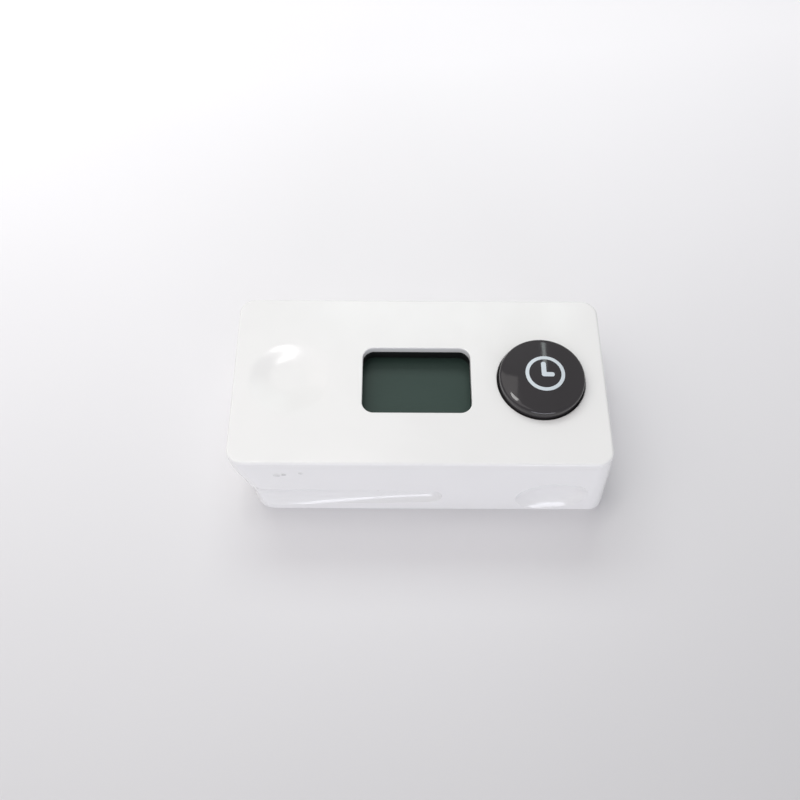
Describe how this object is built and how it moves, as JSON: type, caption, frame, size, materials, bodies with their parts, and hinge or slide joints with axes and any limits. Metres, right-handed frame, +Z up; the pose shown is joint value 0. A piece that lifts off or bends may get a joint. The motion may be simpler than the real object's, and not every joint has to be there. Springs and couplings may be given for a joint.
{
  "type": "punch time clock",
  "caption": "Small battery-powered punch clock: white case with a display window, a large round button, a shallow dish and side grooves for a holder",
  "frame": {"origin": "middle of the overall length and width, on the base plane", "axes": "+X along the length towards the punch button's end, +Y across the width towards the back, +Z up out of the face plate"},
  "size_m": [0.0822, 0.044, 0.0239],
  "materials": {
    "case_plastic": "glossy white moulded plastic with a faint orange-peel surface",
    "button_plastic": "polished near-black moulded plastic",
    "frame_plastic": "matt black moulded plastic",
    "display_film": "dark green-grey polarising film over a blank display",
    "display_glass": "thin display glass",
    "reflector_foil": "satin foil",
    "contact_rubber": "striped conductive silicone rubber",
    "spring_steel": "drawn spring wire",
    "screw_steel": "zinc-plated screw steel",
    "switch_plastic": "moulded switch plunger",
    "board_laminate": "green solder resist over glass-fibre laminate",
    "chip_plastic": "moulded chip package",
    "crystal_can": "drawn metal can",
    "capacitor_sleeve": "dark shrink sleeve",
    "coil_wire": "enamelled copper winding",
    "cell_jacket": "printed cell jacket with a bare metal end",
    "contact_plate": "nickel-plated spring sheet"
  },
  "bodies": {
    "case": {"face_plate": "case_plastic", "body_shell": "case_plastic", "case_screw_1": "screw_steel", "case_screw_2": "screw_steel", "case_screw_3": "screw_steel", "case_screw_4": "screw_steel", "display_frame": "frame_plastic", "display_polariser": "display_film", "display_front_glass": "display_glass", "display_rear_glass": "display_glass", "display_reflector": "reflector_foil", "display_contact_strip": "contact_rubber", "button_spring": "spring_steel", "switch_body": "frame_plastic", "circuit_board": "board_laminate", "board_screw_1": "screw_steel", "board_screw_2": "screw_steel", "board_screw_3": "screw_steel", "board_screw_4": "screw_steel", "microcontroller": "chip_plastic", "memory_chip": "chip_plastic", "watch_crystal": "crystal_can", "backup_capacitor": "capacitor_sleeve", "reader_coil": "coil_wire", "battery_front": "cell_jacket", "battery_back": "cell_jacket", "battery_spring_front": "spring_steel", "battery_spring_back": "spring_steel", "contact_link": "contact_plate", "contact_positive": "contact_plate", "contact_negative": "contact_plate"},
    "button": {"button_cap": "button_plastic"},
    "plunger": {"switch_stem": "switch_plastic"},
    "lid": {"battery_lid": "case_plastic"}
  },
  "joints": [
    {"name": "button_press", "type": "slide", "parent": "case", "child": "button", "axis": [0, 0, -1], "range_m": [0, 0.001], "stiffness_N_per_m": 900, "springref_m": -0.001, "deforming": ["button_spring"]},
    {"name": "switch_press", "type": "slide", "parent": "case", "child": "plunger", "axis": [0, 0, -1], "range_m": [0, 0.001], "stiffness_N_per_m": 100, "springref_m": -0.0005},
    {"name": "battery_lid_slide", "type": "slide", "parent": "case", "child": "lid", "axis": [1, 0, 0], "range_m": [0, 0.04]}
  ],
  "couplings": [
    {"joint": "switch_press", "follows": "button_press", "ratio": 1}
  ]
}
